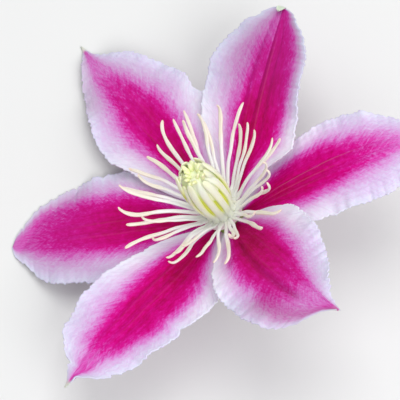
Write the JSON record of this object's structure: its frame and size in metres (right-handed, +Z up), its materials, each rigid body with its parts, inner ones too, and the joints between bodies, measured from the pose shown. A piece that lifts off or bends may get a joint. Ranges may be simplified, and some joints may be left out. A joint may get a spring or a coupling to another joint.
{
  "type": "clematis flower",
  "caption": "Open star-shaped flower with broad waved sepals, spreading thread-like stamens, an upright central boss and a short cut stalk.",
  "frame": {"origin": "on the surface the flower lies on, under the middle of its outline box", "axes": "+Z up from the surface; the flower's own axis leans 25.5 degrees from +Z towards 147 degrees from +X; -Y is the side the flower is looked at from"},
  "size_m": [0.1026, 0.0918, 0.0492],
  "materials": {
    "sepals": "soft satin petal, cerise bar fading to pale lilac margins, finely veined",
    "stamens": "matt, cream white",
    "boss": "matt, cream with yellow-green grooves",
    "stalk": "matt green with fine pale hairs"
  },
  "bodies": {
    "root": {"sepal_upper_left": "sepals", "sepal_top": "sepals", "sepal_right": "sepals", "sepal_lower_right": "sepals", "sepal_lower_left": "sepals", "sepal_left": "sepals", "outer_stamens": "stamens", "inner_stamens_and_styles": "boss", "receptacle_and_stalk": "stalk"}
  },
  "joints": []
}
